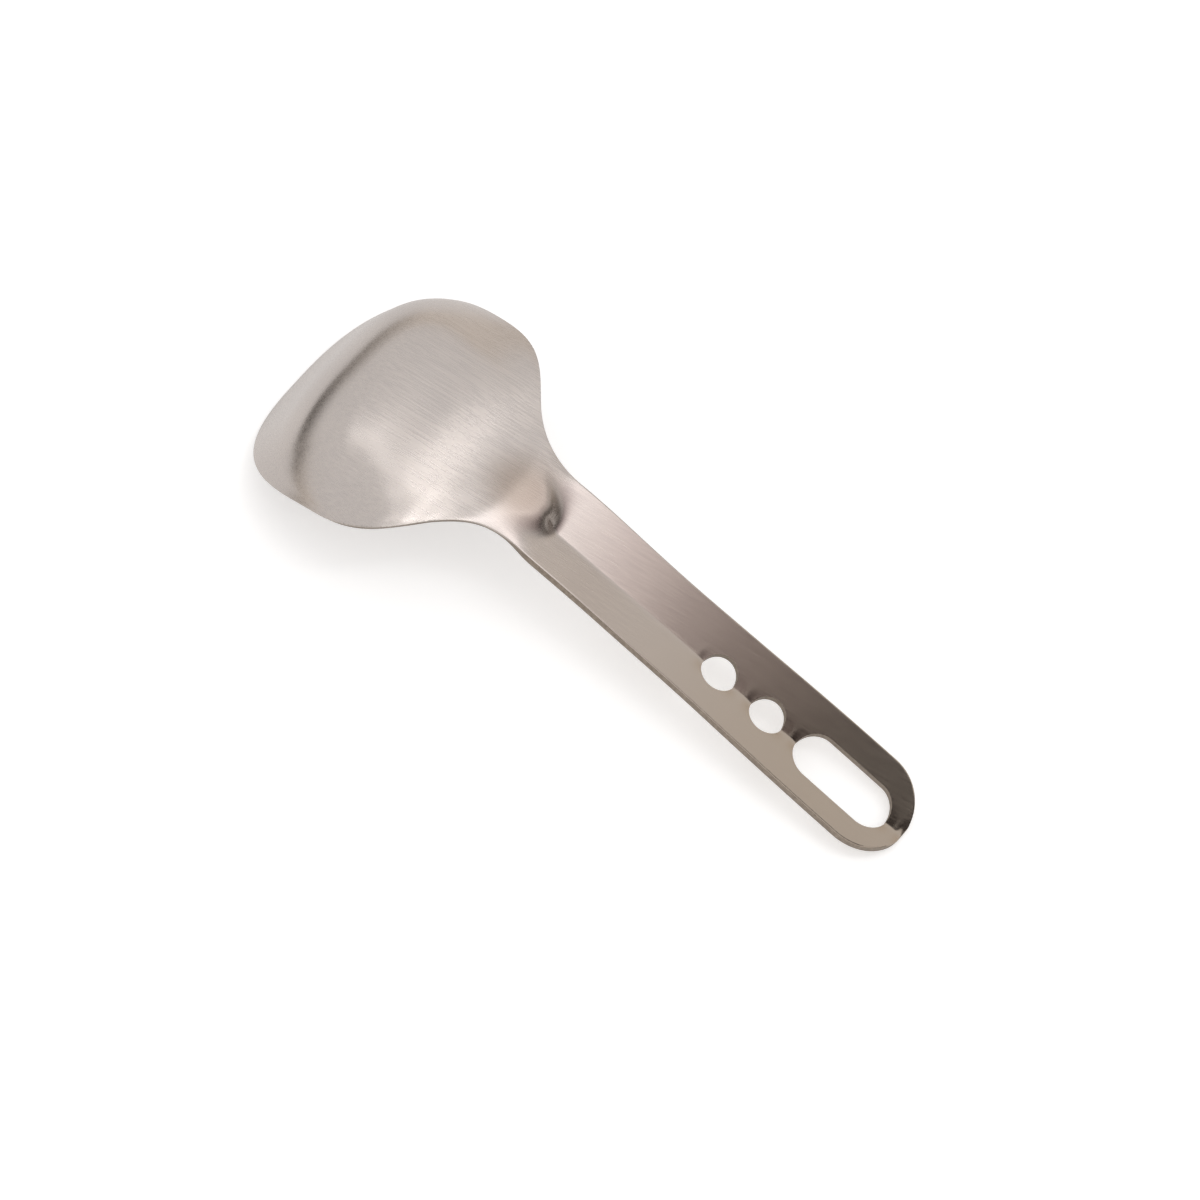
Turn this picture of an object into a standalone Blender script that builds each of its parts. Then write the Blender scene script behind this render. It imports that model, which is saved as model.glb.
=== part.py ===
"""A short titanium ladle spoon, pressed from one flat sheet.

The spoon lies back up: the bowl's domed back and the handle's folded valley face up.
It is drawn with the handle's fold line level, X running from the bowl's tip to the handle's end
and Z up from the fold line, and is then tipped until tip and handle end both rest on Z = 0.
The drawn face is the upper face of the sheet, and the sheet's thickness lies below it.
"""

import math

import bmesh
import bpy
from mathutils import Vector

MM = 0.001

# The sheet
sheet_thickness = 1.2 * MM
overall_length = 118.5 * MM

# Bowl: its outline from above
bowl_front_length = 17.2 * MM
bowl_half_width = 23.2 * MM
bowl_outline_power = 2.7
shoulder_length = 28.2 * MM
side_pull = 15.0 * MM
neck_pull = 17.0 * MM

# Bowl: its rim in side view, measured from the level of the fold line
side_rim_depth = 2.8 * MM
tip_rim_depth = 19.0 * MM
early_fall_share = 0.44
shoulder_crest_height = 3.7 * MM
shoulder_crest_run = 14.3 * MM

# Bowl: its floor, which ends in a bend above the wall, tight at the tip and wide at the sides
crown_height = 4.5 * MM
tip_crown_share = 0.5
side_crown_share = 0.36
crown_fall_setback = 1.5 * MM
crown_fall_length = 14.3 * MM
floor_edge_height = 1.0 * MM
floor_side_depth = 1.7 * MM
tip_wall_run = 4.2 * MM
side_wall_run = 2.7 * MM
floor_outline_power = 2.6
tip_crease_reach = 4.5 * MM
side_crease_reach = 9.0 * MM
tip_crease_share = 0.6
side_crease_share = 0.9

# Handle: half widths from above, and the fold that stiffens it
neck_half_width = 7.7 * MM
waist_half_width = 7.55 * MM
end_half_width = 8.15 * MM
end_round_length = 8.4 * MM
waist_share = 0.25
neck_flange_tilt = math.radians(21.5)
flange_tilt = math.radians(16.0)
fold_radius = 3.0 * MM
neck_height = 2.8 * MM
ramp_setback = 2.2 * MM
ramp_length = 4.6 * MM
edge_ramp_setback = 7.0 * MM
edge_ramp_length = 7.0 * MM

# Handle: the slight downward set of its end
set_angle = math.radians(2.1)
set_length = 15.0 * MM
set_to_end = 44.5 * MM

# Handle: the hanging slot and the two round holes, from the end inwards
slot_to_end = 3.3 * MM
slot_length = 18.5 * MM
slot_width = 8.1 * MM
slot_web = 3.1 * MM
hole_diameter = 6.1 * MM
hole_web = 3.8 * MM
cutter_overrun = 12.0 * MM

# How finely the sheet is drawn
row_step = 2.3 * MM
ramp_row_step = 0.8 * MM
end_rows = 8
end_flat_share = 0.13
tip_rays = 16
fold_columns = 2
floor_columns = 7
crease_columns = 5
wall_columns = 2
columns = floor_columns + crease_columns + wall_columns
hole_sides = 40
weld_distance = 0.001 * MM

# Places along the handle that follow from the sizes
shoulder_end = bowl_front_length + shoulder_length
crest_place = bowl_front_length + shoulder_crest_run
crown_fall_start = bowl_front_length + crown_fall_setback
crown_fall_end = crown_fall_start + crown_fall_length
ramp_start = shoulder_end - ramp_setback
ramp_end = ramp_start + ramp_length
edge_ramp_start = shoulder_end - edge_ramp_setback
edge_ramp_end = edge_ramp_start + edge_ramp_length
end_turn = math.asin(end_flat_share)
end_centre = overall_length - end_round_length * math.cos(end_turn)
waist_place = ramp_end + waist_share * (end_centre - ramp_end)
set_middle = overall_length - set_to_end
set_start = set_middle - set_length / 2
floor_front_length = bowl_front_length - tip_wall_run
floor_half_width = bowl_half_width - side_wall_run
rim_fall = tip_rim_depth - side_rim_depth
rim_slope = early_fall_share * rim_fall / bowl_front_length


def ease(share):
    """Runs from 0 to 1 with no kink at either end."""
    share = min(max(share, 0.0), 1.0)
    return share**3 * (share * (6.0 * share - 15.0) + 10.0)


def ease_between(place, start, stop):
    return ease((place - start) / (stop - start))


def mix(first, second, share):
    return first + (second - first) * share


def hermite(share, first, first_slope, second, span):
    """A cubic from first, with a slope, to second, where it is level."""
    square = share * share
    cube = square * share
    start = (2.0 * cube - 3.0 * square + 1.0) * first
    lean = (cube - 2.0 * square + share) * span * first_slope
    return start + lean + (3.0 * square - 2.0 * cube) * second


def tilt_at(place):
    """The flanges stand up most just behind the neck."""
    settled = ease_between(place, ramp_end, set_middle)
    return mix(neck_flange_tilt, flange_tilt, settled)


def fold_height(across, tilt):
    """Height of the folded section: a small round bottom, then a straight flange."""
    turn = fold_radius * math.sin(tilt)
    if across <= turn:
        return fold_radius - math.sqrt(fold_radius**2 - across**2)
    bottom = fold_radius * (1.0 - math.cos(tilt))
    return bottom + (across - turn) * math.tan(tilt)


def set_drop(place):
    """How far the handle's set lowers the sheet at this place."""
    past = place - set_start
    if past <= 0.0:
        return 0.0
    if past < set_length:
        return math.tan(set_angle) * past**2 / (2.0 * set_length)
    return math.tan(set_angle) * (past - set_length / 2.0)


def folded_share(place, outward):
    """0 in the flat neck, 1 where the handle is folded, which it is sooner towards its edges."""
    start = mix(ramp_start, edge_ramp_start, outward**2)
    stop = mix(ramp_end, edge_ramp_end, outward**2)
    return ease_between(place, start, stop)


def spline(share, start, start_pull, stop_pull, stop):
    """A drawn curve's position: it leaves start towards start_pull and reaches stop likewise."""
    first = mix(start, start_pull, share)
    middle = mix(start_pull, stop_pull, share)
    last = mix(stop_pull, stop, share)
    return mix(mix(first, middle, share), mix(middle, last, share), share)


def shoulder_half_width(place):
    """The shoulder's curve, level where it leaves the bowl's side and where it meets the neck."""
    low = 0.0
    high = 1.0
    for _ in range(30):
        share = (low + high) / 2.0
        along = spline(
            share,
            bowl_front_length,
            bowl_front_length + side_pull,
            shoulder_end - neck_pull,
            shoulder_end,
        )
        if along < place:
            low = share
        else:
            high = share
    return spline(
        share, bowl_half_width, bowl_half_width, neck_half_width, neck_half_width
    )


def half_width(place):
    """Half the spoon's width, seen from above, behind the bowl's widest place."""
    if place <= shoulder_end:
        return shoulder_half_width(place)
    if place <= waist_place:
        share = ease_between(place, shoulder_end, waist_place)
        return mix(neck_half_width, waist_half_width, share)
    share = ease_between(place, waist_place, end_centre)
    width = mix(waist_half_width, end_half_width, share)
    into_end = max(place - end_centre, 0.0) / end_round_length
    return width * math.sqrt(max(1.0 - into_end**2, 0.0))


def edge_height(place):
    """Height of the sheet's edge, behind the bowl's widest place."""
    flange = fold_height(half_width(place), tilt_at(place))
    if place >= shoulder_end:
        return flange
    if place >= crest_place:
        share = ease_between(place, crest_place, shoulder_end)
        return mix(shoulder_crest_height, flange, share)
    share = (place - bowl_front_length) / shoulder_crest_run
    return hermite(
        share, -side_rim_depth, rim_slope, shoulder_crest_height, shoulder_crest_run
    )


def handle_row(place):
    """Points from the centre line to the edge: a fold, or a flat neck before the fold begins."""
    width = half_width(place)
    tilt = tilt_at(place)
    turn = min(fold_radius * math.sin(tilt), width / 2.0)
    flange_columns = columns - fold_columns
    rise = edge_height(place) - set_drop(place)
    depth = fold_height(width, tilt)
    row = []
    for column in range(columns + 1):
        if column <= fold_columns:
            across = turn * column / fold_columns
        else:
            across = mix(turn, width, (column - fold_columns) / flange_columns)
        sunk = folded_share(place, across / width) * (depth - fold_height(across, tilt))
        row.append(Vector((place, across, rise - sunk)))
    return row


def curve_point(start, middle, stop, share):
    return mix(mix(start, middle, share), mix(middle, stop, share), share)


def toward(corner, target, tightness):
    """The point where the crease's bend begins, on the way from its corner to target."""
    reach = mix(side_crease_reach, tip_crease_reach, tightness)
    most = mix(side_crease_share, tip_crease_share, tightness)
    gap = target - corner
    return corner + gap.normalized() * min(reach, most * gap.length)


def bowl_row(centre, corner, rim, tightness):
    """Points over the crowned floor, round the crease, and down the wall to the rim."""
    crown = mix(centre, corner, mix(side_crown_share, tip_crown_share, tightness))
    crown.z = centre.z
    bend_start = toward(corner, crown, tightness)
    bend_end = toward(corner, rim, tightness)
    row = []
    for column in range(floor_columns):
        row.append(curve_point(centre, crown, bend_start, column / floor_columns))
    for column in range(crease_columns):
        share = column / crease_columns
        row.append(curve_point(bend_start, corner, bend_end, share))
    for column in range(wall_columns + 1):
        row.append(mix(bend_end, rim, column / wall_columns))
    return row


def shoulder_row(place):
    """The bowl's section where it narrows towards the neck."""
    width = half_width(place)
    height = edge_height(place)
    fallen = ease_between(place, crown_fall_start, crown_fall_end)
    wall_gone = ease_between(place, bowl_front_length, crest_place)
    centre = Vector((place, 0.0, mix(crown_height, neck_height, fallen)))
    corner_height = mix(-floor_side_depth, edge_height(max(place, crest_place)), wall_gone)
    corner_share = floor_half_width / bowl_half_width
    corner = Vector((place, width * corner_share, corner_height))
    rim = Vector((place, width, height))
    return bowl_row(centre, corner, rim, 0.0)


def sheet_row(place):
    """The bowl's section blended into the handle's along the neck."""
    share = ease_between(place, crest_place, shoulder_end)
    if share <= 0.0:
        return shoulder_row(place)
    if share >= 1.0:
        return handle_row(place)
    pairs = zip(shoulder_row(place), handle_row(place))
    return [mix(bowl, handle, share) for bowl, handle in pairs]


def square_oval(turn, front, side, power):
    """A point of a squarish oval: turn is 0 at the tip and a quarter turn at the side."""
    along = front * math.cos(turn) ** (2.0 / power)
    across = side * math.sin(turn) ** (2.0 / power)
    return along, across


def tip_ray(share):
    """The section from the bowl's centre to the rim, share 0 sideways and 1 at the tip."""
    turn = (1.0 - share) * math.pi / 2.0
    along, across = square_oval(turn, bowl_front_length, bowl_half_width, bowl_outline_power)
    floor_along, floor_across = square_oval(
        turn, floor_front_length, floor_half_width, floor_outline_power
    )
    run = along / bowl_front_length
    fall = rim_fall * (early_fall_share * run + (1.0 - early_fall_share) * run**2)
    centre = Vector((bowl_front_length, 0.0, crown_height))
    forward = floor_along / floor_front_length
    corner_height = mix(-floor_side_depth, floor_edge_height, forward**3)
    corner = Vector((bowl_front_length - floor_along, floor_across, corner_height))
    rim = Vector((bowl_front_length - along, across, -side_rim_depth - fall))
    return bowl_row(centre, corner, rim, forward)


def spread(start, stop, step):
    """Evenly spaced places from start up to, and without, stop."""
    count = max(1, round(abs(stop - start) / step))
    return [mix(start, stop, index / count) for index in range(count)]


def half_sheet_rows():
    """All rows of half the sheet, from the handle's end to the bowl's tip."""
    rows = []
    for index in range(end_rows):
        turn = mix(end_turn, math.pi / 2.0, index / end_rows)
        rows.append(sheet_row(end_centre + end_round_length * math.cos(turn)))
    places = spread(end_centre, ramp_end, row_step)
    places += spread(ramp_end, edge_ramp_start, ramp_row_step)
    places += spread(edge_ramp_start, bowl_front_length, row_step)
    rows += [sheet_row(place) for place in places]
    rows += [tip_ray(index / tip_rays) for index in range(tip_rays + 1)]
    return rows


def loft(name, rows):
    """One open surface through the rows of points."""
    shape = bmesh.new()
    grid = [[shape.verts.new(point) for point in row] for row in rows]
    for near, far in zip(grid, grid[1:]):
        for column in range(len(near) - 1):
            shape.faces.new((near[column], near[column + 1], far[column + 1], far[column]))
    bmesh.ops.remove_doubles(shape, verts=shape.verts, dist=weld_distance)
    mesh = bpy.data.meshes.new(name)
    shape.to_mesh(mesh)
    shape.free()
    mesh.shade_smooth()
    return mesh


def titanium():
    """Bare pressed titanium: a warm grey metal with a satin surface."""
    material = bpy.data.materials.new("pressed_titanium")
    material.use_nodes = True
    shader = material.node_tree.nodes["Principled BSDF"]
    shader.inputs["Base Color"].default_value = (0.50, 0.46, 0.42, 1.0)
    shader.inputs["Metallic"].default_value = 1.0
    shader.inputs["Roughness"].default_value = 0.35
    return material


def round_ended_cutter(name, middle, length, width):
    """A prism with round ends, narrowed across as the folded sheet is. Equal sizes make a disc."""
    radius = width / 2.0
    reach = length / 2.0 - radius
    shape = bmesh.new()
    ring = []
    for index in range(hole_sides):
        turn = 2.0 * math.pi * (index + 0.5) / hole_sides
        along = radius * math.cos(turn) + math.copysign(reach, math.cos(turn))
        across = radius * math.sin(turn) * math.cos(flange_tilt)
        ring.append(shape.verts.new((middle + along, across, -cutter_overrun)))
    base = shape.faces.new(ring)
    raised = bmesh.ops.extrude_face_region(shape, geom=[base])["geom"]
    top = [item for item in raised if isinstance(item, bmesh.types.BMVert)]
    bmesh.ops.translate(shape, verts=top, vec=(0.0, 0.0, 2.0 * cutter_overrun))
    bmesh.ops.recalc_face_normals(shape, faces=shape.faces)
    mesh = bpy.data.meshes.new(name)
    shape.to_mesh(mesh)
    shape.free()
    cutter = bpy.data.objects.new(name, mesh)
    cutter.hide_render = True
    cutter.display_type = "WIRE"
    return cutter


def handle_cutters():
    """The slot and the two holes, each placed from the one nearer the handle's end."""
    slot_inner = overall_length - slot_to_end - slot_length
    slot_middle = slot_inner + slot_length / 2.0
    outer_middle = slot_inner - slot_web - hole_diameter / 2.0
    inner_middle = outer_middle - hole_web - hole_diameter
    return [
        round_ended_cutter("slot_cutter", slot_middle, slot_length, slot_width),
        round_ended_cutter("outer_hole_cutter", outer_middle, hole_diameter, hole_diameter),
        round_ended_cutter("inner_hole_cutter", inner_middle, hole_diameter, hole_diameter),
    ]


def finish_sheet(spoon, cutters):
    """The other half, the thickness, then the punched openings."""
    mirror = spoon.modifiers.new("other_half", "MIRROR")
    mirror.use_axis = (False, True, False)
    mirror.merge_threshold = weld_distance
    wall = spoon.modifiers.new("thickness", "SOLIDIFY")
    wall.thickness = sheet_thickness
    wall.offset = -1.0
    wall.use_even_offset = True
    for cutter in cutters:
        punch = spoon.modifiers.new(cutter.name, "BOOLEAN")
        punch.operation = "DIFFERENCE"
        punch.object = cutter
        punch.solver = "EXACT"


def evaluated_points(spoon):
    bpy.context.view_layer.update()
    graph = bpy.context.evaluated_depsgraph_get()
    seen = spoon.evaluated_get(graph)
    return [seen.matrix_world @ vertex.co for vertex in seen.data.vertices]


def lay_on_table(rest, spoon):
    """Tips and lifts the spoon until its tip and its handle's end both touch Z = 0."""
    for _ in range(4):
        points = evaluated_points(spoon)
        middle = (min(p.x for p in points) + max(p.x for p in points)) / 2.0
        tip = min((p for p in points if p.x < middle), key=lambda p: p.z)
        end = min((p for p in points if p.x >= middle), key=lambda p: p.z)
        rest.rotation_euler.y += math.atan2(end.z - tip.z, end.x - tip.x)
    points = evaluated_points(spoon)
    rest.location.x -= (min(p.x for p in points) + max(p.x for p in points)) / 2.0
    rest.location.z -= min(p.z for p in points)


def main():
    for old in list(bpy.data.objects):
        bpy.data.objects.remove(old, do_unlink=True)
    parts = bpy.data.collections.new("titanium_spoon")
    tools = bpy.data.collections.new("cutters")
    bpy.context.scene.collection.children.link(parts)
    bpy.context.scene.collection.children.link(tools)

    rest = bpy.data.objects.new("rest_on_table", None)
    parts.objects.link(rest)
    spoon = bpy.data.objects.new("spoon_sheet", loft("spoon_sheet", half_sheet_rows()))
    spoon.data.materials.append(titanium())
    parts.objects.link(spoon)
    spoon.parent = rest

    cutters = handle_cutters()
    for cutter in cutters:
        tools.objects.link(cutter)
        cutter.parent = rest
    finish_sheet(spoon, cutters)
    lay_on_table(rest, spoon)


main()
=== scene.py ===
# %% [markdown]
# # A short titanium ladle spoon
#
# The spoon is one piece of titanium sheet. A press cuts its outline, punches a slot and two holes,
# forms the bowl, and folds the handle along its middle. It lies back up on a white table, on the
# rim of its tip and on its handle's end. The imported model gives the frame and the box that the
# spoon must fill. This script makes the fine surface in its place.

# %% The frame
import math

import bpy
from mathutils import Matrix, Vector


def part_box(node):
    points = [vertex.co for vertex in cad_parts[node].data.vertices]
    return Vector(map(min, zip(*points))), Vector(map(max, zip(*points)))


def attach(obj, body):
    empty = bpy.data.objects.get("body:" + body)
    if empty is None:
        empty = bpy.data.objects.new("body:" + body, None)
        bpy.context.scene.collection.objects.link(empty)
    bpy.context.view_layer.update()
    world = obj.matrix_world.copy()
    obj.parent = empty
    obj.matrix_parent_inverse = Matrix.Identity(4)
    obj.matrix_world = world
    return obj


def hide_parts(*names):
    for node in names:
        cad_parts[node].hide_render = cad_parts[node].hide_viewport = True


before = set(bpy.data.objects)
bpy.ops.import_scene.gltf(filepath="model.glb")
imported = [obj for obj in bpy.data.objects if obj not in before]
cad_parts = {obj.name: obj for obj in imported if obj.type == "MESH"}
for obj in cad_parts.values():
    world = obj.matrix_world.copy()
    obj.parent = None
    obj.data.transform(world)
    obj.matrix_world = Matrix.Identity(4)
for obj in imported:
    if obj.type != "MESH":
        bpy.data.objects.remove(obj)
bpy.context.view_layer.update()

MM = 0.001
print("nodes:", sorted(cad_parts))


# %% [markdown]
# ## Helpers
#
# An operator acts on everything that is selected, and loading the frame leaves its nodes selected,
# so each step starts by deselecting. Colours are written as the hex values that a screen shows,
# and Blender wants them linear. One small function adds a shader node with its settings and links.

# %% Helpers
def deselect_all():
    if bpy.context.object and bpy.context.object.mode != "OBJECT":
        bpy.ops.object.mode_set(mode="OBJECT")
    bpy.ops.object.select_all(action="DESELECT")


def pick(piece):
    deselect_all()
    piece.select_set(True)
    bpy.context.view_layer.objects.active = piece


def linear(hex_colour):
    """Turns a screen colour such as #B8ADA3 into Blender's linear one."""
    channels = [int(hex_colour[i : i + 2], 16) / 255.0 for i in (1, 3, 5)]
    light = [c / 12.92 if c <= 0.04045 else ((c + 0.055) / 1.055) ** 2.4 for c in channels]
    return (*light, 1.0)


def add_node(tree, kind, settings=None, inputs=None):
    """Adds a node, sets its properties, and fills or links its inputs."""
    node = tree.nodes.new(kind)
    for name, value in (settings or {}).items():
        setattr(node, name, value)
    for name, value in (inputs or {}).items():
        if isinstance(value, bpy.types.NodeSocket):
            tree.links.new(value, node.inputs[name])
        else:
            node.inputs[name].default_value = value
    return node


# %% [markdown]
# ## The camera
#
# The photograph looks down on the spoon's back from the front, with the camera rolled so that the
# handle runs to the lower right. A long lens from far off keeps the shape free of perspective.
# The distance and the lens together give the photograph's scale.

# %% The camera
view_azimuth = math.radians(19.66)
view_elevation = math.radians(62.5)
view_roll = math.radians(19.7)
view_target = Vector((1.2, -3.2, 9.6)) * MM
view_distance = 1.2
view_width = 185.8 * MM

view_turn = (
    Matrix.Rotation(view_azimuth, 3, "Z")
    @ Matrix.Rotation(math.pi / 2 - view_elevation, 3, "X")
    @ Matrix.Rotation(view_roll, 3, "Z")
)


def seen(right, up, near):
    """A direction given as the photograph shows it: right, up and towards the viewer."""
    return (view_turn @ Vector((right, up, near))).normalized()


camera_data = bpy.data.cameras.new("camera")
camera_data.sensor_width = 36.0
camera_data.lens = camera_data.sensor_width * view_distance / view_width
camera_data.clip_start = 0.05
camera_data.clip_end = 20.0
camera = bpy.data.objects.new("camera", camera_data)
camera.location = view_target + seen(0, 0, 1) * view_distance
camera.rotation_euler = view_turn.to_euler()
bpy.context.scene.collection.objects.link(camera)
bpy.context.scene.camera = camera
print("lens in mm:", round(camera_data.lens, 1))


# %% [markdown]
# ## The pressed sheet: its sizes
#
# Every size is the part's own, in millimetres. X runs from the bowl's tip to the handle's end, with
# the fold line level, Y runs to the side, and Z is up from the fold line. A sheet this plain lives
# by the light on it, so the small heights matter: the crown falls about one millimetre to the neck,
# and that slope alone makes the bright band across the shoulders. The neck's edges are turned down
# by half a millimetre, which the press leaves where it holds the sheet. The heights of the crown,
# the shelf, the neck and its lip can't be measured in the photograph. They were chosen together
# with the lamps further down, so that the spoon shades as it does there.

# %% Sizes of the sheet
sheet_thickness = 1.2
overall_length = 118.5
rest_angle = math.radians(8.03)

bowl_front_length = 17.2
bowl_half_width = 23.2
bowl_outline_power = 2.7
shoulder_end = bowl_front_length + 28.2
side_pull = 15.4
neck_pull = 16.6

side_rim_depth = 2.8
tip_rim_depth = 19.0
early_fall_share = 0.44
shoulder_crest_height = 3.2
crest_place = bowl_front_length + 14.3

crown_height = 4.8
tip_crown_share = 0.5
side_crown_share = 0.5
crown_fall_start = bowl_front_length + 2.9
crown_fall_end = crown_fall_start + 13.8
crown_lag = -0.1
shelf_height = 3.44
shelf_fall_start = bowl_front_length + 13.8
shelf_fall_end = shelf_fall_start + 11.0
floor_edge_height = 1.0
floor_side_height = -0.4
floor_front_length = bowl_front_length - 4.2
side_wall_run = 2.7
floor_half_width = bowl_half_width - side_wall_run
lip_height = 0.5
lip_power = 6.0
wall_end = bowl_front_length + 12.0
lip_fade_start = shoulder_end - 4.0
lip_fade_end = shoulder_end + 3.0
floor_outline_power = 2.6
tip_crease_reach = 6.0
side_crease_reach = 8.0
tip_crease_share = 0.6
side_crease_share = 0.6

neck_half_width = 7.7
waist_half_width = 7.55
end_half_width = 8.15
end_round_length = 8.4
neck_height = 3.72
neck_flange_tilt = math.radians(21.5)
flange_tilt = math.radians(16.0)
ramp_start = shoulder_end - 2.2
ramp_end = ramp_start + 4.8
ramp_round_share = 0.35
edge_ramp_start = shoulder_end - 6.5
edge_ramp_end = edge_ramp_start + 9.0
set_angle = math.radians(2.1)
set_length = 15.0
set_middle = overall_length - 44.5

end_flat_share = 0.13
end_turn = math.asin(end_flat_share)
end_centre = overall_length - end_round_length * math.cos(end_turn)
waist_share = 0.25
waist_place = ramp_end + waist_share * (end_centre - ramp_end)

slot_length = 18.5
slot_width = 8.1
hole_width = 6.1
slot_to_end = 3.3
slot_to_hole = 3.1
hole_to_hole = 3.8
slot_place = overall_length - slot_to_end - slot_length / 2
outer_hole_place = slot_place - slot_length / 2 - slot_to_hole - hole_width / 2
inner_hole_place = outer_hole_place - hole_to_hole - hole_width
print("slot and holes at:", slot_place, outer_hole_place, inner_hole_place)


# %% [markdown]
# ## The outline and the rim
#
# The bowl's outline is a squarish oval in front and a drawn curve along the shoulders. It could be
# traced with a Bezier curve, but a formula gives width and height at every place, so the sheet can
# be as fine as it needs to be.

# %% Outline and rim heights
halvings = 30


def ease(share):
    share = min(max(share, 0.0), 1.0)
    return share**3 * (share * (6.0 * share - 15.0) + 10.0)


def ease_between(place, start, stop):
    return ease((place - start) / (stop - start))


def mix(first, second, share):
    return first + (second - first) * share


def spline(share, start, start_pull, stop_pull, stop):
    first = mix(start, start_pull, share)
    middle = mix(start_pull, stop_pull, share)
    last = mix(stop_pull, stop, share)
    return mix(mix(first, middle, share), mix(middle, last, share), share)


def shoulder_half_width(place):
    """The drawn curve from the bowl's side to the neck, found by halving the interval."""
    low, high = 0.0, 1.0
    along = (
        bowl_front_length,
        bowl_front_length + side_pull,
        shoulder_end - neck_pull,
        shoulder_end,
    )
    for _ in range(halvings):
        share = (low + high) / 2
        if spline(share, *along) < place:
            low = share
        else:
            high = share
    return spline(share, bowl_half_width, bowl_half_width, neck_half_width, neck_half_width)


def half_width(place):
    if place <= shoulder_end:
        return shoulder_half_width(place)
    if place <= waist_place:
        share = ease_between(place, shoulder_end, waist_place)
        return mix(neck_half_width, waist_half_width, share)
    width = mix(waist_half_width, end_half_width, ease_between(place, waist_place, end_centre))
    into_end = max(place - end_centre, 0.0) / end_round_length
    return width * math.sqrt(max(1.0 - into_end**2, 0.0))


def tilt_at(place):
    return mix(neck_flange_tilt, flange_tilt, ease_between(place, ramp_end, set_middle))


def set_drop(place):
    """How far the handle's slight set lowers it here."""
    past = place - (set_middle - set_length / 2)
    if past <= 0.0:
        return 0.0
    if past < set_length:
        return math.tan(set_angle) * past**2 / (2.0 * set_length)
    return math.tan(set_angle) * (past - set_length / 2)


shown_places = (bowl_front_length, crest_place, shoulder_end, waist_place, end_centre)
print("half widths:", [round(half_width(place), 2) for place in shown_places])


# %% [markdown]
# ## The fold
#
# The handle is folded along its middle, so its section is a shallow V. A hyperbola gives a V with
# a small round bottom: its flanks come ever closer to straight lines, as sheet bent over an edge
# does.

# %% The fold's section
fold_softness = 0.12


def fold_height(across, tilt):
    slope = math.tan(tilt)
    return math.sqrt((across * slope) ** 2 + fold_softness**2) - fold_softness


def edge_height(place):
    flange = fold_height(half_width(place), tilt_at(place))
    if place >= shoulder_end:
        return flange
    if place >= crest_place:
        share = ease_between(place, crest_place, shoulder_end)
        return mix(shoulder_crest_height, flange, share)
    run = crest_place - bowl_front_length
    share = (place - bowl_front_length) / run
    square, cube = share**2, share**3
    slope = early_fall_share * (tip_rim_depth - side_rim_depth) / bowl_front_length
    start = (2 * cube - 3 * square + 1) * -side_rim_depth
    lean = (cube - 2 * square + share) * run * slope
    return start + lean + (3 * square - 2 * cube) * shoulder_crest_height


print("edge heights:", [round(edge_height(place), 2) for place in shown_places])


# %% [markdown]
# ## Dips beside the openings
#
# Where the sheet has been punched it is weaker, and the folding tool presses its edge down a
# little. So the fold line sinks just before and just after each opening, and before the handle's
# end. It is little more than a quarter of a millimetre, but the metal shows it as a dark and a
# bright spot. Each dip is a bell curve, because it fades without an edge in every direction.

# %% Dips in the fold line
dip_depth = 0.28
dip_reach = 1.0
dip_half_width = 1.6
openings = [
    (inner_hole_place, hole_width / 2),
    (outer_hole_place, hole_width / 2),
    (slot_place, slot_length / 2),
]


def dip(place, across):
    sideways = math.exp(-((across / dip_half_width) ** 2))
    sunk = 0.0
    for middle, reach in openings:
        gap = max(abs(place - middle) - reach, 0.0)
        sunk += math.exp(-((gap / dip_reach) ** 2))
    to_end = max(overall_length - place, 0.0)
    sunk += math.exp(-((to_end / dip_reach) ** 2))
    return dip_depth * sunk * sideways


# %% [markdown]
# ## Rows of points
#
# The press is a function: it says where each point of the flat blank goes. A row runs from the
# middle line to the edge. Along the handle it is the fold's section. In the bowl it crosses the
# crowned floor, goes round the crease and down the wall. At the tip the rows fan out from the
# bowl's centre, as folds do in a paper cup.
#
# Where the side wall runs out, its crease rises to a shelf, which goes on level to the neck, just
# above its turned-down edge. Behind the neck the fold starts with a short ramp, steep on the
# middle line and longer at the sides.
#
# Curves and eased steps are used everywhere, since a kink in the slope would show at once.
# Sculpting could make such a form too, but then no size in it could be stated.

# %% The press
floor_columns = 16
crease_columns = 12
wall_columns = 10
columns = floor_columns + crease_columns + wall_columns
column_power = 1.4
ramp_core_half_width = 0.3
ramp_spread_half_width = 6.0


def curve_point(start, middle, stop, share):
    return mix(mix(start, middle, share), mix(middle, stop, share), share)


def toward(corner, target, tightness):
    reach = mix(side_crease_reach, tip_crease_reach, tightness)
    most = mix(side_crease_share, tip_crease_share, tightness)
    gap = target - corner
    return corner + gap.normalized() * min(reach, most * gap.length)


def bowl_row(centre, crown_level, corner, rim, tightness):
    crown = mix(centre, corner, mix(side_crown_share, tip_crown_share, tightness))
    crown.z = crown_level
    bend_start = toward(corner, crown, tightness)
    bend_end = toward(corner, rim, tightness)
    row = [curve_point(centre, crown, bend_start, i / floor_columns) for i in range(floor_columns)]
    for i in range(crease_columns):
        row.append(curve_point(bend_start, corner, bend_end, i / crease_columns))
    return row + [mix(bend_end, rim, i / wall_columns) for i in range(wall_columns + 1)]


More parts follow.
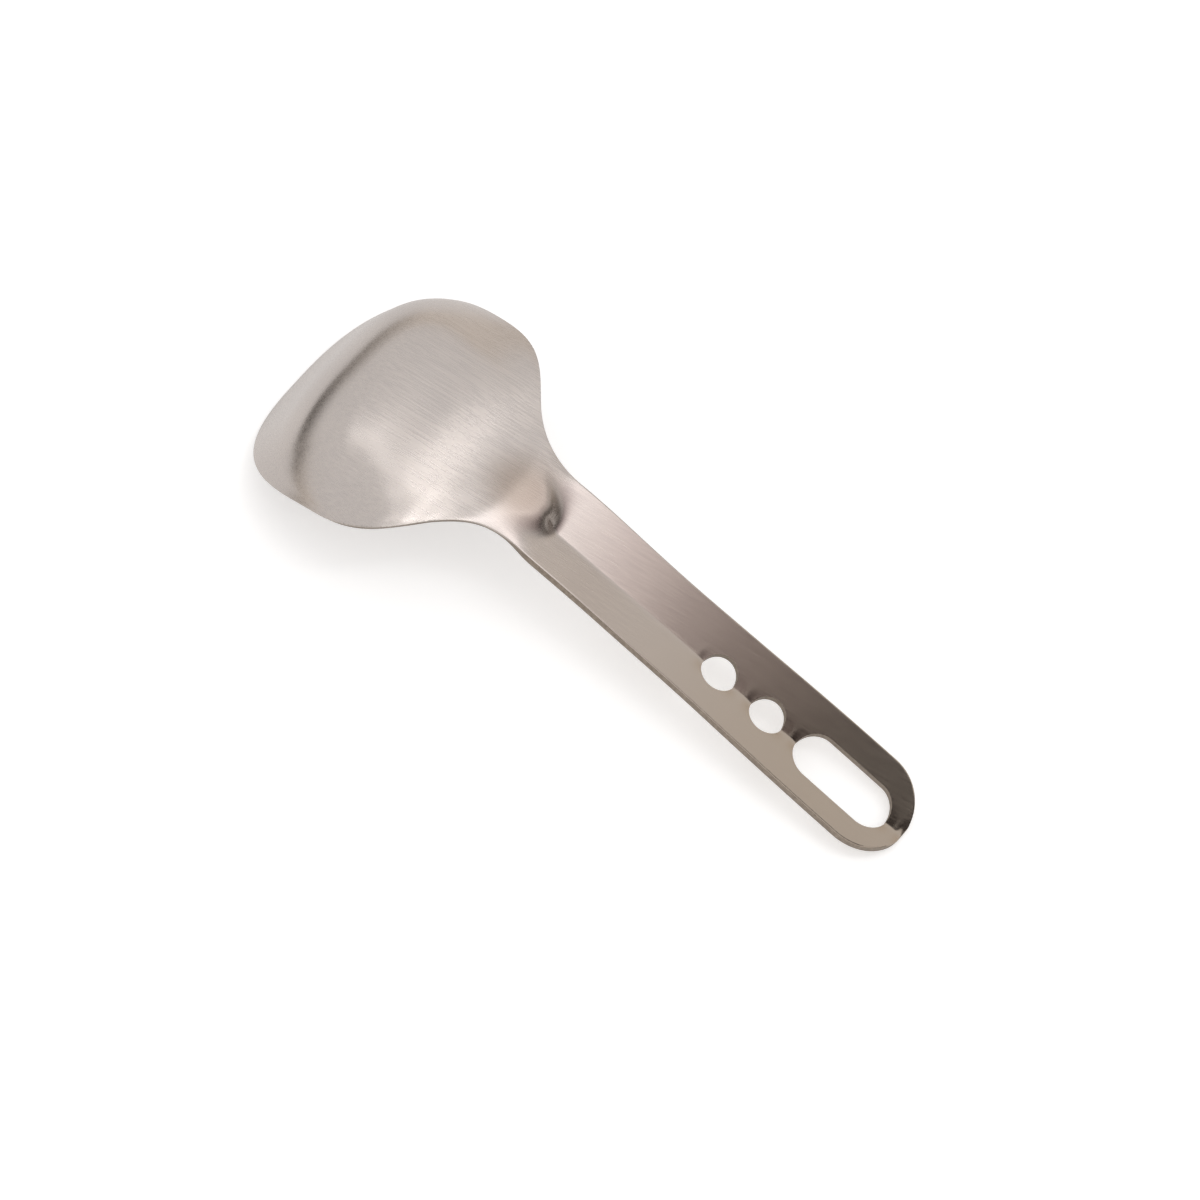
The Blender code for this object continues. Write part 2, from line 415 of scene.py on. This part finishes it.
def shoulder_row(place):
    width, height = half_width(place), edge_height(place)
    fallen = ease_between(place, crown_fall_start, crown_fall_end)
    risen = min((place - bowl_front_length) / (wall_end - bowl_front_length), 1.0)
    wall_gone = risen**2 * (3.0 - 2.0 * risen)
    centre = Vector((place, 0, mix(crown_height, neck_height, fallen)))
    lagging = ease_between(place - crown_lag, crown_fall_start, crown_fall_end)
    crown_level = mix(crown_height, neck_height, lagging)
    past_shelf = ease_between(place, shelf_fall_start, shelf_fall_end)
    lipped = mix(shelf_height, edge_height(max(place, crest_place)) + lip_height, past_shelf)
    corner = Vector((place, width - side_wall_run, mix(floor_side_height, lipped, wall_gone)))
    return bowl_row(centre, crown_level, corner, Vector((place, width, height)), 0.0)


def ramp_share(share):
    """A straight ramp with its top and its foot rounded off."""
    share = min(max(share, 0.0), 1.0)
    if share < ramp_round_share:
        return share**2 / (2 * ramp_round_share * (1 - ramp_round_share))
    if share > 1 - ramp_round_share:
        return 1 - ramp_share(1 - share)
    return (share - ramp_round_share / 2) / (1 - ramp_round_share)


def handle_row(place):
    width, tilt = half_width(place), tilt_at(place)
    rise = edge_height(place) - set_drop(place)
    lip = lip_height * (1.0 - ease_between(place, lip_fade_start, lip_fade_end))
    row = []
    for column in range(columns + 1):
        share = (column / columns) ** column_power
        across = width * share
        away = ease_between(across, ramp_core_half_width, ramp_spread_half_width)
        start = mix(ramp_start, edge_ramp_start, away)
        stop = mix(ramp_end, edge_ramp_end, away)
        folded = ramp_share((place - start) / (stop - start))
        sunk = folded * (fold_height(width, tilt) - fold_height(across, tilt))
        lifted = lip * (1.0 - (across / width) ** lip_power) if width > 0.0 else 0.0
        row.append(Vector((place, across, rise + lifted - sunk - dip(place, across))))
    return row


def sheet_row(place):
    share = ease_between(place, crest_place, shoulder_end)
    if share <= 0.0:
        return shoulder_row(place)
    if share >= 1.0:
        return handle_row(place)
    return [mix(a, b, share) for a, b in zip(shoulder_row(place), handle_row(place))]


def square_oval(turn, front, side, power):
    along = front * abs(math.cos(turn)) ** (2 / power)
    return along, side * abs(math.sin(turn)) ** (2 / power)


def tip_ray(share):
    turn = (1 - share) * math.pi / 2
    along, across = square_oval(turn, bowl_front_length, bowl_half_width, bowl_outline_power)
    floor_along, floor_across = square_oval(
        turn, floor_front_length, floor_half_width, floor_outline_power
    )
    run = along / bowl_front_length
    rim_fall = tip_rim_depth - side_rim_depth
    fall = rim_fall * (early_fall_share * run + (1 - early_fall_share) * run**2)
    centre = Vector((bowl_front_length, 0, crown_height))
    front = floor_along / floor_front_length
    corner_height = mix(floor_side_height, floor_edge_height, front**3)
    corner = Vector((bowl_front_length - floor_along, floor_across, corner_height))
    rim = Vector((bowl_front_length - along, across, -side_rim_depth - fall))
    return bowl_row(centre, crown_height, corner, rim, front)


# %% [markdown]
# ## Where the rows lie
#
# A row is drawn wherever the form changes, so the rows are closest at the ramp and beside the
# openings, and widest along the plain flanges. Even rows would be simpler, but they would have to
# be as close everywhere. Round the end they follow equal turns, as on a circle.

# %% Rows from the tip to the handle's end
fan_rows = 56
end_rows = 16
shoulder_step = 0.6
ramp_step = 0.25
flange_step = 0.7
opening_step = 0.4


def spread(start, stop, step):
    count = max(1, round(abs(stop - start) / step))
    return [mix(start, stop, i / count) for i in range(count)]


before_openings = inner_hole_place - hole_width
places = spread(bowl_front_length, shoulder_end, shoulder_step)
places += spread(shoulder_end, ramp_end, ramp_step)
places += spread(ramp_end, before_openings, flange_step)
places += spread(before_openings, end_centre, opening_step)
for index in range(end_rows + 1):
    turn = mix(math.pi / 2, end_turn, index / end_rows)
    places.append(end_centre + end_round_length * math.cos(turn))
rows = [tip_ray(1 - index / fan_rows) for index in range(fan_rows)]
rows += [sheet_row(place) for place in places]
print("rows:", len(rows), "columns:", columns + 1)


# %% [markdown]
# ## Half the sheet
#
# A grid is the flat blank, with one vertex for each point. Each vertex is sent to its place, the
# fan's shared centre is welded, and the other half is mirrored.

# %% Press half the sheet
weld_distance = 0.001 * MM
deselect_all()
bpy.ops.mesh.primitive_grid_add(x_subdivisions=len(rows) - 1, y_subdivisions=columns, size=1.0)
spoon = bpy.context.object
spoon.name = "pressed_spoon"
spoon.data.name = "pressed_spoon"
for vertex in spoon.data.vertices:
    row = round((vertex.co.x + 0.5) * (len(rows) - 1))
    column = round((vertex.co.y + 0.5) * columns)
    vertex.co = rows[row][column] * MM
bpy.ops.object.mode_set(mode="EDIT")
bpy.ops.mesh.select_all(action="SELECT")
bpy.ops.mesh.remove_doubles(threshold=weld_distance)
bpy.ops.object.mode_set(mode="OBJECT")

mirror = spoon.modifiers.new("other_half", "MIRROR")
mirror.use_axis = (False, True, False)
mirror.merge_threshold = weld_distance
bpy.ops.object.modifier_apply(modifier=mirror.name)
print("sheet faces:", len(spoon.data.polygons))


# %% [markdown]
# ## Titanium, brushed
#
# The sheet is bare titanium, brushed and then pressed. Titanium is a warm grey, darker than steel.
# The brushing leaves fine lines nearly along the spoon, which spread a reflection across them, so
# the shader is anisotropic. Toward the handle's end the metal is smoother, as handling leaves it,
# and its colour is painted darker and browner there, as shade where the light falls off along the
# handle. A round spot at the ramp is painted darker and brown, as shade where the metal mirrors
# something dark. Real brushed lines are about a tenth of a millimetre apart. They are drawn three
# times coarser here, so that a picture shows them. The pattern is turned by the brushing's own
# angle, and by rest_angle, which is within a quarter of a degree of the angle at which the spoon
# comes to lie.

# %% The brushed lines
titanium = bpy.data.materials.new("brushed_titanium")
titanium.use_nodes = True
tree = titanium.node_tree
shader = tree.nodes["Principled BSDF"]
place_on = add_node(tree, "ShaderNodeTexCoord")
brush_turn = math.radians(11.0)
brush_length = 7.0 * MM
brush_spacing = 0.3 * MM
patch_size = 16 * MM
turned = add_node(
    tree,
    "ShaderNodeMapping",
    {"vector_type": "TEXTURE"},
    {"Vector": place_on.outputs["Object"], "Rotation": (0.0, rest_angle, brush_turn)},
)
stretched = add_node(
    tree,
    "ShaderNodeVectorMath",
    {"operation": "MULTIPLY"},
    {0: turned.outputs["Vector"], 1: (1 / brush_length, 1 / brush_spacing, 1 / brush_spacing)},
)
brushing = add_node(
    tree,
    "ShaderNodeTexNoise",
    None,
    {"Vector": stretched.outputs["Vector"], "Scale": 1.0, "Detail": 3.0, "Roughness": 0.6},
)
patches = add_node(
    tree,
    "ShaderNodeTexNoise",
    None,
    {"Vector": place_on.outputs["Object"], "Scale": 1 / patch_size, "Detail": 3.0},
)
print("brushed lines apart in mm:", round(brush_spacing / MM, 2))


# %% [markdown]
# ## The titanium's tints and painted shade
#
# Bare metal has no paint, so its own colour only changes a little: with the brushing and in soft
# patches. The rest is painted shade: darker and browner along the handle towards its end, where
# the light falls off, and most in a round spot at the ramp, where the metal mirrors something dark.
# An image could hold these tints, but distances on the spoon itself keep them in place when it is
# turned.

# %% The tints
# The handle's painted shade and its polish both grow over this range, towards its end.
shade_and_polish_from, shade_and_polish_to = -30 * MM, 45 * MM
ramp_spot = Vector((-18.0, 0.0, 16.0)) * MM
spot_core, spot_reach = 2.0 * MM, 9.0 * MM
spot_strength = 0.85
grain_weight, tint_weight = 0.7, 0.6
grain = add_node(
    tree,
    "ShaderNodeMapRange",
    None,
    {"Value": brushing.outputs["Fac"], "From Min": 0.3, "From Max": 0.7},
)
mottle = add_node(
    tree,
    "ShaderNodeMath",
    {"operation": "MULTIPLY_ADD"},
    {0: grain.outputs["Result"], 1: grain_weight, 2: patches.outputs["Fac"]},
)
mottle_share = add_node(
    tree,
    "ShaderNodeMath",
    {"operation": "MULTIPLY", "use_clamp": True},
    {0: mottle.outputs["Value"], 1: tint_weight},
)
tint = add_node(
    tree,
    "ShaderNodeMix",
    {"data_type": "RGBA"},
    {
        "Factor": mottle_share.outputs["Value"],
        "A": linear("#B6AFAC"),
        "B": linear("#D1C8C1"),
    },
)
along_spoon = add_node(
    tree, "ShaderNodeSeparateXYZ", None, {"Vector": place_on.outputs["Object"]}
)
shade_and_polish_toward_end = add_node(
    tree,
    "ShaderNodeMapRange",
    {"interpolation_type": "SMOOTHSTEP"},
    {
        "Value": along_spoon.outputs["X"],
        "From Min": shade_and_polish_from,
        "From Max": shade_and_polish_to,
    },
)
# painted shade: darker and browner towards the handle's end, where the light falls off
painted_end_shade = add_node(
    tree,
    "ShaderNodeMix",
    {"data_type": "RGBA"},
    {
        "Factor": shade_and_polish_toward_end.outputs["Result"],
        "A": tint.outputs["Result"],
        "B": linear("#B2A597"),
    },
)
# painted shade: a darker brown round spot at the ramp, where the metal mirrors something dark
from_ramp = add_node(
    tree,
    "ShaderNodeVectorMath",
    {"operation": "DISTANCE"},
    {0: place_on.outputs["Object"], 1: ramp_spot},
)
painted_ramp_shade_mask = add_node(
    tree,
    "ShaderNodeMapRange",
    {"interpolation_type": "SMOOTHSTEP"},
    {
        "Value": from_ramp.outputs["Value"],
        "From Min": spot_core,
        "From Max": spot_reach,
        "To Min": spot_strength,
        "To Max": 0.0,
    },
)
painted_ramp_shade = add_node(
    tree,
    "ShaderNodeMix",
    {"data_type": "RGBA"},
    {
        "Factor": painted_ramp_shade_mask.outputs["Result"],
        "A": painted_end_shade.outputs["Result"],
        "B": linear("#998B80"),
    },
)
print("handled from and to in mm:", round(shade_and_polish_from / MM), round(shade_and_polish_to / MM))


# %% [markdown]
# ## The titanium's shine
#
# The brushing makes the metal rougher in one line and smoother in the next, and handling has
# polished the handle a little. A very shallow bump makes the lines catch the light. The tangent
# tells the shader which way they run, by a UV map that is made once the spoon lies in its place.

# %% Roughness, bump and tangent
smooth_line, rough_line = 0.2, 0.36
handling_polish = -0.1
brush_depth = 0.02 * MM
streaked = add_node(
    tree,
    "ShaderNodeMapRange",
    None,
    {"Value": brushing.outputs["Fac"], "To Min": smooth_line, "To Max": rough_line},
)
rubbed = add_node(
    tree,
    "ShaderNodeMath",
    {"operation": "MULTIPLY_ADD"},
    {0: shade_and_polish_toward_end.outputs["Result"], 1: handling_polish, 2: streaked.outputs["Result"]},
)
bump = add_node(
    tree,
    "ShaderNodeBump",
    None,
    {"Height": brushing.outputs["Fac"], "Strength": 0.6, "Distance": brush_depth},
)
tree.links.new(painted_ramp_shade.outputs["Result"], shader.inputs["Base Color"])
tree.links.new(rubbed.outputs["Value"], shader.inputs["Roughness"])
tree.links.new(bump.outputs["Normal"], shader.inputs["Normal"])
shader.inputs["Metallic"].default_value = 1.0
shader.inputs["Anisotropic"].default_value = 0.6
across_lines = add_node(
    tree, "ShaderNodeTangent", {"direction_type": "UV_MAP", "uv_map": "brushing"}
)
tree.links.new(across_lines.outputs["Tangent"], shader.inputs["Tangent"])
print("titanium nodes:", len(tree.nodes))


# %% [markdown]
# ## Titanium, sheared
#
# A punch tears its way through the last part of the sheet, so the cut edge is rough and dull. Noise
# gives it its mottled colour and its bumps. The torn grain is finer than half a millimetre on the
# real edge, and is drawn coarser here.

# %% The sheared edge
torn_grain = 0.5 * MM
torn_depth = 0.1 * MM
sheared = bpy.data.materials.new("sheared_titanium")
sheared.use_nodes = True
tree = sheared.node_tree
shader = tree.nodes["Principled BSDF"]
place_on = add_node(tree, "ShaderNodeTexCoord")
tearing = add_node(
    tree,
    "ShaderNodeTexNoise",
    None,
    {"Vector": place_on.outputs["Object"], "Scale": 1 / torn_grain, "Detail": 4.0},
)
torn = add_node(
    tree,
    "ShaderNodeMix",
    {"data_type": "RGBA"},
    {"Factor": tearing.outputs["Fac"], "A": linear("#6E635A"), "B": linear("#B3A79A")},
)
torn_bump = add_node(
    tree,
    "ShaderNodeBump",
    None,
    {"Height": tearing.outputs["Fac"], "Strength": 0.6, "Distance": torn_depth},
)
tree.links.new(torn.outputs["Result"], shader.inputs["Base Color"])
tree.links.new(torn_bump.outputs["Normal"], shader.inputs["Normal"])
shader.inputs["Metallic"].default_value = 1.0
shader.inputs["Roughness"].default_value = 0.5
print("sheared edge nodes:", len(tree.nodes))


# %% [markdown]
# ## Thickness
#
# The drawn surface is the upper one, so Solidify adds the sheet's thickness below it. Its rim faces
# take the second material. Sheared sheet is tumbled or brushed until its edge doesn't cut, so the
# border of the rim's faces is bevelled. Picking that border by its material finds it all the way
# round, where an angle limit would miss a piece and leave a spike.

# %% Give the sheet its thickness
arris_width = 0.2
spoon.data.materials.append(titanium)
spoon.data.materials.append(sheared)
pick(spoon)
wall = spoon.modifiers.new("thickness", "SOLIDIFY")
wall.thickness = sheet_thickness * MM
wall.offset = -1.0
wall.use_even_offset = True
wall.material_offset_rim = 1
bpy.ops.object.modifier_apply(modifier=wall.name)
bpy.ops.object.mode_set(mode="EDIT")
bpy.ops.mesh.select_all(action="DESELECT")
spoon.active_material_index = 1
bpy.ops.object.material_slot_select()
bpy.ops.mesh.region_to_loop()
bpy.ops.mesh.bevel(offset=arris_width * MM, segments=3, affect="EDGES")
bpy.ops.object.mode_set(mode="OBJECT")
print("faces with the arris rounded:", len(spoon.data.polygons))


# %% [markdown]
# ## The slot and the holes
#
# A punch is a cylinder. For the slot, one half of the cylinder is moved along, which stretches its
# middle. The sheet was punched flat and folded afterwards, so seen from above each opening is a
# little narrower than it is long.

# %% Punch the openings
punch_height = 24.0
punch_sides = 96
middle_tolerance = 1e-7


def punch(name, place, length, width):
    deselect_all()
    bpy.ops.mesh.primitive_cylinder_add(
        vertices=punch_sides,
        radius=width / 2 * MM,
        depth=punch_height * MM,
        location=(place * MM, 0, 0),
    )
    tool = bpy.context.object
    tool.name = name
    reach = (length - width) / 2 * MM
    bpy.ops.object.mode_set(mode="EDIT")
    bpy.ops.mesh.select_all(action="SELECT")
    bpy.ops.transform.resize(value=(1, math.cos(flange_tilt), 1))
    bpy.ops.object.mode_set(mode="OBJECT")
    for vertex in tool.data.vertices:
        if abs(vertex.co.x) > middle_tolerance:
            vertex.co.x += math.copysign(reach, vertex.co.x)
    tool.data.materials.append(titanium)
    tool.data.materials.append(sheared)
    for face in tool.data.polygons:
        face.material_index = 1
    return tool


punches = [
    punch("slot_punch", slot_place, slot_length, slot_width),
    punch("outer_punch", outer_hole_place, hole_width, hole_width),
    punch("inner_punch", inner_hole_place, hole_width, hole_width),
]
for tool in punches:
    pick(spoon)
    cut = spoon.modifiers.new(tool.name, "BOOLEAN")
    cut.operation = "DIFFERENCE"
    cut.solver = "EXACT"
    cut.material_mode = "TRANSFER"
    cut.object = tool
    bpy.ops.object.modifier_apply(modifier=cut.name)
    bpy.data.objects.remove(tool, do_unlink=True)
print("faces after punching:", len(spoon.data.polygons))


# %% [markdown]
# ## Laying it down
#
# The spoon rests on its tip and on its handle's end. The mesh itself is tipped until both are
# level, then moved into the frame's box, so the object stays at the origin. Edges flatter than
# the crisp angle are shaded smooth.

# %% Lay the spoon on the table
settling_turns = 4
crisp_angle = math.radians(35)
tipped = 0.0
for _ in range(settling_turns):
    corners = [vertex.co for vertex in spoon.data.vertices]
    middle = (min(c.x for c in corners) + max(c.x for c in corners)) / 2
    tip = min((c for c in corners if c.x < middle), key=lambda c: c.z)
    end = min((c for c in corners if c.x >= middle), key=lambda c: c.z)
    step = math.atan2(end.z - tip.z, end.x - tip.x)
    spoon.data.transform(Matrix.Rotation(step, 4, "Y"))
    tipped += step
print("rest angle in degrees:", round(math.degrees(tipped), 2))
low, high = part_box("spoon_sheet")
xs = [vertex.co.x for vertex in spoon.data.vertices]
zs = [vertex.co.z for vertex in spoon.data.vertices]
shift = Vector(((low.x + high.x - min(xs) - max(xs)) / 2, 0, low.z - min(zs)))
spoon.data.transform(Matrix.Translation(shift))
pick(spoon)
bpy.ops.object.shade_smooth_by_angle(angle=crisp_angle)
print("box in mm:", round((max(xs) - min(xs)) / MM, 2), round((max(zs) - min(zs)) / MM, 2))


# %% [markdown]
# ## The brushing's direction
#
# The shader spreads a reflection across the brushed lines, so it has to know which way they run.
# A UV map tells it: U runs across the lines. Unwrapping would lay the sheet out flat, but here
# only the direction matters, so the map is the spoon seen from above, turned.

# %% Map the brushing
for layer in list(spoon.data.uv_layers):
    spoon.data.uv_layers.remove(layer)
brushing_map = spoon.data.uv_layers.new(name="brushing")
across_x, across_y = -math.sin(brush_turn), math.cos(brush_turn)
for loop in spoon.data.loops:
    spot = spoon.data.vertices[loop.vertex_index].co / MM
    across = spot.x * across_x + spot.y * across_y
    along = spot.x * across_y - spot.y * across_x
    brushing_map.data[loop.index].uv = (across / overall_length, along / overall_length)
print("corners mapped:", len(spoon.data.loops))

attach(spoon, "root")
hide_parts("spoon_sheet")


# %% [markdown]
# ## The table and the light
#
# The photograph was taken on a white table in a light tent. The floor is a matt white disc. A
# little emission lifts it to white. Only the camera and mirrored rays see it, so the table looks
# white and is a little brighter in the spoon's reflections, but casts no more soft light on it.

# %% The table
table_radius = 2.0
table_sides = 96
seen_strength = 0.39
mirrored_strength = 0.16
deselect_all()
bpy.ops.mesh.primitive_circle_add(
    vertices=table_sides, radius=table_radius, fill_type="NGON"
)
table = bpy.context.object
table.name = "white_table"
paper = bpy.data.materials.new("white_paper")
paper.use_nodes = True
tree = paper.node_tree
tree.nodes.clear()
rays = add_node(tree, "ShaderNodeLightPath")
diffuse = add_node(tree, "ShaderNodeBsdfDiffuse", None, {"Color": linear("#F0F0F0")})
seen_lift = add_node(
    tree,
    "ShaderNodeMath",
    {"operation": "MULTIPLY"},
    {0: rays.outputs["Is Camera Ray"], 1: seen_strength},
)
lift = add_node(
    tree,
    "ShaderNodeMath",
    {"operation": "MULTIPLY_ADD"},
    {
        0: rays.outputs["Is Glossy Ray"],
        1: mirrored_strength,
        2: seen_lift.outputs["Value"],
    },
)
glow = add_node(tree, "ShaderNodeEmission", None, {"Strength": lift.outputs["Value"]})
both = add_node(tree, "ShaderNodeAddShader", None, {0: diffuse.outputs[0], 1: glow.outputs[0]})
add_node(tree, "ShaderNodeOutputMaterial", None, {"Surface": both.outputs[0]})
table.data.materials.append(paper)
print("table across in mm:", round(table.dimensions.x / MM))


# %% [markdown]
# ## The light tent
#
# The tent is the world: white above, warm grey low down, darker to the left and to the right, where
# it was open. The camera sees plain white in its place. An environment picture could do this too,
# but a few directions and shades say it more plainly.

# %% The tent
left_opening = seen(-0.78, 0.62, 0.0)
right_opening = seen(0.95, -0.2, 0.2)
world = bpy.data.worlds.new("light_tent")
world.use_nodes = True
bpy.context.scene.world = world
tree = world.node_tree
tree.nodes.clear()
rays = add_node(tree, "ShaderNodeLightPath")
direction = add_node(tree, "ShaderNodeTexCoord")
upward = add_node(
    tree,
    "ShaderNodeSeparateXYZ",
    None,
    {"Vector": direction.outputs["Generated"]},
)
height = add_node(tree, "ShaderNodeValToRGB", None, {"Fac": upward.outputs["Z"]})
bands = [(0.0, "#000000"), (0.2, "#404040"), (0.55, "#FFFFFF")]
for index, (level, colour) in enumerate(bands):
    ramp = height.color_ramp.elements
    stop = ramp[index] if index < 2 else ramp.new(level)
    stop.position = level
    stop.color = linear(colour)
leftward = add_node(
    tree,
    "ShaderNodeVectorMath",
    {"operation": "DOT_PRODUCT"},
    {0: direction.outputs["Generated"], 1: left_opening},
)
left_side = add_node(
    tree,
    "ShaderNodeMapRange",
    None,
    {"Value": leftward.outputs["Value"], "From Min": 0.52, "From Max": 0.98},
)
rightward = add_node(
    tree,
    "ShaderNodeVectorMath",
    {"operation": "DOT_PRODUCT"},
    {0: direction.outputs["Generated"], 1: right_opening},
)
right_side = add_node(
    tree,
    "ShaderNodeMapRange",
    None,
    {"Value": rightward.outputs["Value"], "From Min": 0.75, "From Max": 0.93},
)
dark_side = add_node(
    tree,
    "ShaderNodeMath",
    {"operation": "MAXIMUM"},
    {0: left_side.outputs["Result"], 1: right_side.outputs["Result"]},
)
low = add_node(
    tree,
    "ShaderNodeMix",
    {"data_type": "RGBA"},
    {"Factor": dark_side.outputs["Value"], "A": linear("#E6DCD0"), "B": linear("#716D69")},
)
sky = add_node(
    tree,
    "ShaderNodeMix",
    {"data_type": "RGBA"},
    {"Factor": height.outputs["Color"], "A": low.outputs["Result"], "B": linear("#F1F0F0")},
)
tent = add_node(
    tree, "ShaderNodeBackground", None, {"Color": sky.outputs["Result"], "Strength": 1.0}
)
white = add_node(tree, "ShaderNodeBackground", None, {"Color": (1, 1, 1, 1), "Strength": 1.0})
shown = add_node(
    tree,
    "ShaderNodeMixShader",
    None,
    {0: rays.outputs["Is Camera Ray"], 1: tent.outputs[0], 2: white.outputs[0]},
)
add_node(tree, "ShaderNodeOutputWorld", None, {"Surface": shown.outputs[0]})


print("tent nodes:", len(tree.nodes))


# %% [markdown]
# ## Two softboxes
#
# One long softbox makes the bright band on the shoulders and the bright edge of the neck. A weaker
# one lights the near half of the bowl. A lamp's power goes with its area, so each is given by the
# brightness that the metal should mirror.

# %% The softboxes
def softbox(name, direction, along, distance, width, height, radiance):
    """A rectangular lamp that faces the spoon, as bright as its radiance wherever it is put."""
    data = bpy.data.lights.new(name, "AREA")
    data.shape = "RECTANGLE"
    data.size = width
    data.size_y = height
    data.energy = radiance * math.pi * width * height
    lamp = bpy.data.objects.new(name, data)
    lamp.location = view_target + direction * distance
    upright = direction.cross(along).normalized()
    turned = Matrix((upright.cross(direction), upright, direction)).transposed()
    lamp.rotation_euler = turned.to_euler()
    lamp.visible_camera = False
    bpy.context.scene.collection.objects.link(lamp)


softbox(
    "key_softbox",
    direction=seen(0.459, 0.359, 0.812),
    along=seen(0.841, 0.118, -0.527),
    distance=0.8,
    width=0.37,
    height=0.1,
    radiance=3.6,
)
softbox(
    "fill_softbox",
    direction=seen(0.13, 0.46, 0.88),
    along=seen(0.99, -0.05, -0.12),
    distance=0.8,
    width=0.36,
    height=0.12,
    radiance=1.1,
)
print("lamps:", [light.name for light in bpy.data.lights])


# %% [markdown]
# ## A graded card
#
# The far flange of the handle seems to mirror something close above it, since it goes from white
# to dark along its length, while the flat flange has one slope. A studio does that with a card
# that shades from light to dark. It hangs over the flange, hidden from the camera. It gives no
# light to matt surfaces and casts no shadow, so only the metal's reflection shows it. Its shades
# were set by trial against the photograph's flange. Its dark end is a reddish brown.

# %% A graded card
dark_green_share, light_blue_share, dark_blue_share = 0.7, 1.02, 0.72
deselect_all()
bpy.ops.mesh.primitive_plane_add(size=1.0)
card = bpy.context.object
card.name = "graded_card"
card_centre = Vector((28.0, -0.8, 20.0)) * MM
card_size = Vector((90.0 * MM, 28.0 * MM, 1.0))
card_slant = math.radians(-40.8)
card.data.transform(Matrix.Diagonal((*card_size, 1.0)))
card.location = view_target + view_turn @ card_centre
card.rotation_euler = (view_turn @ Matrix.Rotation(card_slant, 3, "Z")).to_euler()
grading = bpy.data.materials.new("graded_card")
grading.use_nodes = True
tree = grading.node_tree
tree.nodes.clear()
on_card = add_node(tree, "ShaderNodeTexCoord")
across_card = add_node(
    tree,
    "ShaderNodeSeparateXYZ",
    None,
    {"Vector": on_card.outputs["Object"]},
)
card_share = add_node(
    tree,
    "ShaderNodeMapRange",
    None,
    {
        "Value": across_card.outputs["X"],
        "From Min": -card_size.x / 2,
        "From Max": card_size.x / 2,
    },
)
shades = add_node(tree, "ShaderNodeValToRGB", None, {"Fac": card_share.outputs["Result"]})
card_shades = [
    (0.0, 1.9),
    (0.06, 1.7),
    (0.14, 1.35),
    (0.25, 0.95),
    (0.38, 0.5),
    (0.49, 0.3),
    (0.6, 0.16),
    (0.71, 0.07),
    (0.82, 0.03),
    (1.0, 0.02),
]
for index, (place, shade) in enumerate(card_shades):
    ramp = shades.color_ramp.elements
    stop = ramp[index] if index < 2 else ramp.new(place)
    stop.position = place
    green = shade * mix(1.0, dark_green_share, place)
    blue = shade * mix(light_blue_share, dark_blue_share, place)
    stop.color = (shade, green, blue, 1.0)
light = add_node(tree, "ShaderNodeEmission", None, {"Color": shades.outputs["Color"]})
add_node(tree, "ShaderNodeOutputMaterial", None, {"Surface": light.outputs[0]})
card.data.materials.append(grading)
card.visible_camera = False
card.visible_diffuse = False
card.visible_shadow = False
print("card shades:", len(card_shades))


# %% [markdown]
# ## The view transform
#
# The colours are shown as they are, with the Standard view transform.

# %% Finish
bpy.context.scene.view_settings.view_transform = "Standard"
